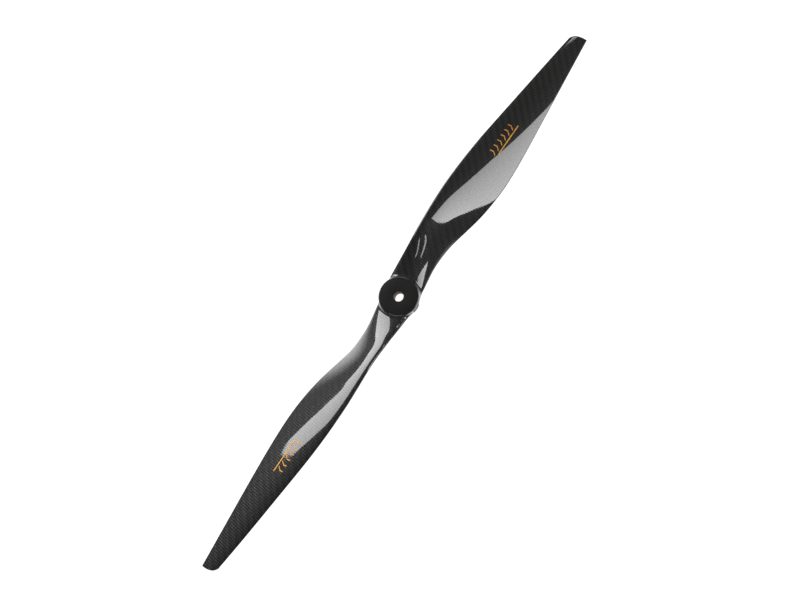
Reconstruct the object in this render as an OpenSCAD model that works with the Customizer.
// Two-blade fixed-pitch propeller, moulded from carbon fibre.
// The origin is on the bore axis at the back face of the hub. +Z runs along the bore
// towards the front, +X runs along blade 1, and +Y is the leading side of blade 1.
// Seen from the front it turns anticlockwise. All lengths are in millimetres.

/* [Propeller] */
// Diameter over the blade tips
diameter = 508; // [480:4:540]
// Advance in one turn, which sets the blade angles
pitch = 330; // [290:5:350]

/* [Hub] */
// Outside diameter of the hub
hub_d = 32; // [32:0.5:34]
// Thickness of the hub along the bore
hub_t = 10; // [9:0.5:12]
// Diameter of the bare machined disc on both hub faces
face_d = 30; // [28:0.5:30]
// Bore for the motor shaft
bore_d = 8; // [6:0.5:12]
// Rounding of the outer edges of the hub
hub_round = 0.9; // [0.3:0.1:1]

/* [Blade] */
// Camber of the outer blade as a share of the chord
camber = 0.035; // [0.01:0.005:0.05]
// Thickness of the leading edge
lead_edge_t = 0.3; // [0.2:0.1:0.6]
// Thickness of the trailing edge
trail_edge_t = 0.9; // [0.5:0.1:1.2]
// How far the leading corner of the tip is cut back
tip_sweep = 6.5; // [4:0.5:10]

/* [Laminate] */
// Skin thickness at the hub
skin_root_t = 1.0; // [0.8:0.1:1.2]
// Skin thickness at the tip
skin_tip_t = 0.5; // [0.3:0.05:0.6]
// Thickness of a spar cap at the hub
cap_root_t = 0.8; // [0.5:0.1:1]
// Thickness of a spar cap at its outer end
cap_tip_t = 0.3; // [0.2:0.05:0.3]

/* [Emblem] */
// Thickness of the gold film
film_t = 0.1; // [0.05:0.01:0.15]
// Radius at which the emblem begins
emblem_x = 133; // [132:1:136]
// Length of the line under the emblem
line_len = 28; // [24:1:30]

/* [Hidden] */
$fn = 96;

radius = diameter / 2;
hub_r = hub_d / 2;
face_r = face_d / 2;
// The hub face is cut a little past its edge, down to the disc
spot_face_r = hub_r - 0.1;
// A wall of skin closes each blade towards the hub
root_wall_r = hub_r + skin_root_t;
carbon = [0.13, 0.13, 0.14];
core_black = [0.20, 0.20, 0.21];
tow_black = [0.08, 0.08, 0.09];
foam = [0.90, 0.88, 0.80];
resin = [0.45, 0.40, 0.30];
gold = [0.85, 0.62, 0.20];

// Blade shape at each station:
// [radius, leading edge ahead of the radial line, trailing edge behind it,
//  height of mid chord, thickness, share of the helix angle]
SHAPE = [
    [  4, 15.2, 13.4,  3.8, 7.2, 0.02],
    [ 12, 15.4, 12.4,  4.8, 7.0, 0.15],
    [ 20, 15.6, 11.0,  5.6, 6.8, 0.27],
    [ 30, 15.6,  9.0,  7.0, 6.7, 0.49],
    [ 40, 15.8,  8.1,  8.6, 6.6, 0.70],
    [ 55, 16.4,  8.8, 10.3, 6.2, 0.95],
    [ 70, 17.6, 12.0, 10.9, 5.6, 1.00],
    [ 90, 18.8, 16.2, 10.9, 4.8, 1.00],
    [115, 18.8, 18.4, 10.8, 4.2, 1.00],
    [140, 17.5, 17.6, 10.6, 3.6, 1.00],
    [180, 13.8, 13.7, 10.1, 2.7, 1.00],
    [220,  9.9,  9.3,  9.1, 1.9, 1.00],
    [254,  6.2,  5.6,  8.5, 1.3, 1.00]
];
LEAD = 1;
TRAIL = 2;
HEIGHT = 3;
THICK = 4;
SHARE = 5;
shape_scale = radius / SHAPE[len(SHAPE) - 1][0];

// Stations along the blade, closer together where it turns most
ROOT_END = 8;
CORE_END = 23;
CAVITY_END = 26;
STATIONS = concat(
    [4, 8, 12, 16, 20, 25, 30, 36],
    [for (x = [42 : 7 : 70]) x],
    [79, 88, 97],
    [for (x = [108 : 12 : 204]) x],
    [214, 225, 234, 242, 249, 254]
);

// Lines along the blade, as shares of the chord from the leading edge
LINES = [0, 0.01, 0.03, 0.07, 0.14, 0.24, 0.35, 0.40, 0.52, 0.65, 0.78, 0.88, 0.95, 1];
CAVITY_LEAD = 3;
NOSE_LINE = 4;
CAP_LEAD = 5;
WEB_LEAD = 6;
WEB_TRAIL = 7;
CAP_TRAIL = 8;
TAIL_LINE = 10;
CAVITY_TRAIL = 11;

// ---- Curves ----

function clamp01(t) = min(1, max(0, t));
function ease(t) = let (u = clamp01(t)) u * u * (3 - 2 * u);
function mix(a, b, t) = a + (b - a) * t;

// Smooth curve through one column of the shape table (Catmull-Rom)
function shape_row(r, i = 0) = i >= len(SHAPE) - 2 || r < SHAPE[i + 1][0] ? i : shape_row(r, i + 1);
function slope(i, col) =
    let (a = SHAPE[max(i - 1, 0)], b = SHAPE[min(i + 1, len(SHAPE) - 1)])
    (b[col] - a[col]) / (b[0] - a[0]);
function shape(x, col) =
    let (
        r = min(max(x / shape_scale, SHAPE[0][0]), SHAPE[len(SHAPE) - 1][0]),
        i = shape_row(r),
        a = SHAPE[i],
        b = SHAPE[i + 1],
        w = b[0] - a[0],
        t = (r - a[0]) / w,
        t2 = t * t,
        t3 = t2 * t
    )
    (2 * t3 - 3 * t2 + 1) * a[col] + (3 * t2 - 2 * t3) * b[col]
    + (t3 - 2 * t2 + t) * w * slope(i, col) + (t3 - t2) * w * slope(i + 1, col);

// ---- Blade section at radius x, share s of the chord from the leading edge ----

function blade_angle(x) = atan(pitch / (2 * PI * x)) * shape(x, SHARE);
function chord(x) = (shape(x, LEAD) + shape(x, TRAIL)) / cos(blade_angle(x));
function aerofoil(x) = ease((x - 22) / 60);
function ellipse_form(s) = sqrt(max(0, 1 - pow(2 * s - 1, 2)));
function naca_form(s) =
    10 * (0.2969 * sqrt(s) - 0.1260 * s - 0.3516 * s * s + 0.2843 * pow(s, 3) - 0.1036 * pow(s, 4));

// Half thickness, and the mean line's rise above the chord
function half_t(x, s) =
    let (edge = mix(lead_edge_t, trail_edge_t, s) / 2)
    edge + (shape(x, THICK) / 2 - edge) * mix(ellipse_form(s), naca_form(s), aerofoil(x));
function mean_rise(x, s) = 4 * s * (1 - s) * camber * aerofoil(x) * chord(x);

// The tip edge slants back to a rounded leading corner
function tip_cut(s) = 0.55 * pow(1 - s, 2) + 0.45 * pow(1 - s, 10);
function swept_x(x, s) =
    x - tip_sweep * pow(clamp01((x - 0.92 * radius) / (0.08 * radius)), 2) * tip_cut(s);

// Point of the blade at height e above its mean line
function blade_point(x0, s, e) =
    let (
        x = swept_x(x0, s),
        ang = blade_angle(x),
        lead = shape(x, LEAD),
        trail = shape(x, TRAIL),
        y = mix(lead, -trail, s),
        z = shape(x, HEIGHT) + (y - (lead - trail) / 2) * tan(ang),
        rise = mean_rise(x, s) + e
    )
    [x, y - rise * sin(ang), z + rise * cos(ang)];

// ---- Layers, as heights above the mean line ----

function in_cavity(i, j) = i < CAVITY_END && j > CAVITY_LEAD && j < CAVITY_TRAIL;
function skin_t(x) = mix(skin_root_t, skin_tip_t, x / radius);
function cap_t(x) = mix(cap_root_t, cap_tip_t, clamp01(x / station(CORE_END)));
function station(i) = STATIONS[i] * shape_scale;
function outer(i, j) = half_t(swept_x(station(i), LINES[j]), LINES[j]);
function cavity(i, j) = in_cavity(i, j) ? max(0.02, outer(i, j) - skin_t(station(i))) : 0;
function under_cap(i, j) =
    cavity(i, j) - (j > CAP_LEAD && j < CAP_TRAIL ? cap_t(station(i)) : 0);

// Heights of a layer's boundary: "outer", "cavity", "cap", "film" or "mean"
function level(name, i, j) =
    name == "outer" ? outer(i, j)
    : name == "cavity" ? cavity(i, j)
    : name == "cap" ? under_cap(i, j)
    : name == "film" ? outer(i, j) + film_t
    : 0;
function layer_face(name, side, rows, cols) =
    [for (i = rows) [for (j = cols) blade_point(station(i), LINES[j], side * level(name, i, j))]];

// ---- Solids ----

// Closed solid between two grids of points that match row by row
module slab(lower, upper) {
    rows = len(lower);
    cols = len(lower[0]);
    // Where the grids meet they share their points, and a triangle shared whole is left out
    shared = function (i, j) norm(upper[i][j] - lower[i][j]) < 0.0001;
    low = function (i, j) i * cols + j;
    high = function (i, j) shared(i, j) ? low(i, j) : rows * cols + low(i, j);
    triangles = [
        for (i = [0 : rows - 2]) for (j = [0 : cols - 2])
            for (t = [[[i, j], [i + 1, j], [i + 1, j + 1]], [[i, j], [i + 1, j + 1], [i, j + 1]]])
                if (len([for (c = t) if (shared(c[0], c[1])) c]) < 3) t
    ];
    sheet = function (at) [for (t = triangles) [for (c = t) at(c[0], c[1])]];
    wall = function (a, b, c, d) [[a, b, c], [a, c, d]];
    ends = [
        for (j = [0 : cols - 2]) each concat(
            wall(high(0, j), high(0, j + 1), low(0, j + 1), low(0, j)),
            wall(low(rows - 1, j), low(rows - 1, j + 1), high(rows - 1, j + 1), high(rows - 1, j))
        )
    ];
    sides = [
        for (i = [0 : rows - 2]) each concat(
            wall(low(i, 0), low(i + 1, 0), high(i + 1, 0), high(i, 0)),
            wall(high(i, cols - 1), high(i + 1, cols - 1), low(i + 1, cols - 1), low(i, cols - 1))
        )
    ];
    faces = concat(
        [for (f = sheet(low)) [f[0], f[2], f[1]]],
        sheet(high),
        ends,
        sides
    );
    polyhedron(
        points = concat([for (row = lower) each row], [for (row = upper) each row]),
        faces = [for (f = faces) if (f[0] != f[1] && f[1] != f[2] && f[2] != f[0]) f]
    );
}

module layer(lower, lower_side, upper, upper_side, rows, cols) {
    slab(
        layer_face(lower, lower_side, rows, cols),
        layer_face(upper, upper_side, rows, cols)
    );
}

// A blade piece in its place: blade 2 is blade 1 turned half a turn
module on_blade(number) {
    rotate([0, 0, number == 1 ? 0 : 180]) children();
}

ALL_ROWS = [for (i = [0 : len(STATIONS) - 1]) i];
ROOT_ROWS = [for (i = [0 : 5]) i];
ALL_LINES = [for (j = [0 : len(LINES) - 1]) j];
CORE_ROWS = [for (i = [ROOT_END : CORE_END]) i];

// ---- Hub ----

// Ring of skin around the hub core between two heights
module hub_ring(from, to) {
    intersection() {
        rotate_extrude()
            intersection() {
                offset(r = hub_round, $fn = 20) offset(delta = -hub_round)
                    translate([-hub_r, 0]) square([hub_d, hub_t]);
                translate([face_r, 0]) square([hub_r, hub_t]);
            }
        translate([-hub_r, -hub_r, from]) cube([hub_d, hub_d, to - from]);
    }
}

// Everything above or below the mean surface at the roots of both blades
module root_space(z) {
    mean = layer_face("mean", 0, ROOT_ROWS, ALL_LINES);
    flat = [for (row = mean) [for (p = row) [p.x, p.y, z]]];
    for (number = [1, 2]) on_blade(number)
        if (z > 0) slab(mean, flat);
        else slab(flat, mean);
}

module hub_space(r, from, to) {
    translate([0, 0, from]) cylinder(r = r / cos(180 / $fn), h = to - from);
}

above = 30;
below = -10;

// The half of the hub ring that belongs to one skin
module ring_half(from, to, own, other) {
    difference() {
        union() {
            hub_ring(from, to);
            intersection() {
                hub_ring(0, hub_t);
                root_space(own);
            }
        }
        root_space(other);
    }
}

// Half of a blade's skin, with the wall that closes it towards the hub
module blade_skin(side) {
    inner = side > 0 ? "cavity" : "outer";
    outer = side > 0 ? "outer" : "cavity";
    layer(inner, side, outer, side, ALL_ROWS, ALL_LINES);
    intersection() {
        translate([0, 0, below]) cylinder(r = root_wall_r, h = above - below);
        if (side > 0) layer("mean", side, "outer", side, ROOT_ROWS, ALL_LINES);
        else layer("outer", side, "mean", side, ROOT_ROWS, ALL_LINES);
    }
}

// ---- Sub-parts ----

module front_skin() {
    color(carbon)
        // The span over the tips is held to the diameter
        resize([diameter, 0, 0]) difference() {
            union() {
                ring_half(hub_t / 2, hub_t, above, below);
                for (number = [1, 2]) on_blade(number) blade_skin(1);
            }
            hub_space(face_r, below, above);
            hub_space(spot_face_r, hub_t, above);
        }
}

module back_skin() {
    color(carbon)
        // The span over the tips is held to the diameter
        resize([diameter, 0, 0]) difference() {
            union() {
                ring_half(0, hub_t / 2, below, above);
                for (number = [1, 2]) on_blade(number) blade_skin(-1);
            }
            hub_space(face_r, below, above);
        }
}

module hub_core() {
    color(core_black) difference() {
        cylinder(r = face_r, h = hub_t);
        translate([0, 0, -1]) cylinder(d = bore_d, h = hub_t + 2);
    }
}

// Hard filler between the hub and the blade's own cores
module root_block(number) {
    color(resin) difference() {
        on_blade(number)
            layer("cap", -1, "cap", 1, [0 : ROOT_END], [CAVITY_LEAD : CAVITY_TRAIL]);
        hub_space(root_wall_r, below, above);
    }
}

module front_spar_cap(number) {
    color(tow_black) difference() {
        on_blade(number) layer("cap", 1, "cavity", 1, [0 : CORE_END], [CAP_LEAD : CAP_TRAIL]);
        hub_space(root_wall_r, below, above);
    }
}

module back_spar_cap(number) {
    color(tow_black) difference() {
        on_blade(number) layer("cavity", -1, "cap", -1, [0 : CORE_END], [CAP_LEAD : CAP_TRAIL]);
        hub_space(root_wall_r, below, above);
    }
}

// A piece that fills the space between the spar caps or skins
module filling(number, rows, from, to) {
    on_blade(number) layer("cap", -1, "cap", 1, rows, [from : to]);
}

module shear_web(number) {
    color(tow_black) filling(number, CORE_ROWS, WEB_LEAD, WEB_TRAIL);
}

module nose_core(number) {
    color(foam) filling(number, CORE_ROWS, NOSE_LINE, WEB_LEAD);
}

module tail_core(number) {
    color(foam) filling(number, CORE_ROWS, WEB_TRAIL, TAIL_LINE);
}

module nose_tow(number) {
    color(tow_black) filling(number, CORE_ROWS, CAVITY_LEAD, NOSE_LINE);
}

module trailing_strip(number) {
    color(tow_black) filling(number, CORE_ROWS, TAIL_LINE, CAVITY_TRAIL);
}

module tip_filler(number) {
    color(resin) on_blade(number)
        layer("cavity", -1, "cavity", 1, [CORE_END : CAVITY_END], [CAVITY_LEAD : CAVITY_TRAIL]);
}

// Generic gold mark: a row of thin chevrons over a plain line
chevrons = 6;
chevron_pitch = 5;
chevron_low = 1.3;
chevron_h = 5.4;
chevron_lean = 2.2;
chevron_slant = 1.6;
stroke = 0.9;
line_inset = 3;

module emblem_outline() {
    half = chevron_h / 2;
    for (k = [0 : chevrons - 1])
        translate([emblem_x + k * chevron_pitch, chevron_low])
            polygon([
                [0, 0], [stroke, 0], [stroke + chevron_lean, half],
                [stroke + chevron_slant, chevron_h], [chevron_slant, chevron_h], [chevron_lean, half]
            ]);
    translate([emblem_x + line_inset, -0.7 * stroke]) square([line_len, stroke]);
}

module emblem(number) {
    color(gold) on_blade(number) intersection() {
        layer("outer", 1, "film", 1, [18 : 22], [5 : 9]);
        linear_extrude(above) emblem_outline();
    }
}

front_skin();
back_skin();
hub_core();
root_block(1);  // blade_1_root_block
root_block(2);  // blade_2_root_block
front_spar_cap(1);  // blade_1_front_spar_cap
front_spar_cap(2);  // blade_2_front_spar_cap
back_spar_cap(1);  // blade_1_back_spar_cap
back_spar_cap(2);  // blade_2_back_spar_cap
shear_web(1);  // blade_1_shear_web
shear_web(2);  // blade_2_shear_web
nose_core(1);  // blade_1_nose_core
nose_core(2);  // blade_2_nose_core
tail_core(1);  // blade_1_tail_core
tail_core(2);  // blade_2_tail_core
nose_tow(1);  // blade_1_nose_tow
nose_tow(2);  // blade_2_nose_tow
trailing_strip(1);  // blade_1_trailing_strip
trailing_strip(2);  // blade_2_trailing_strip
tip_filler(1);  // blade_1_tip_filler
tip_filler(2);  // blade_2_tip_filler
emblem(1);  // blade_1_emblem
emblem(2);  // blade_2_emblem
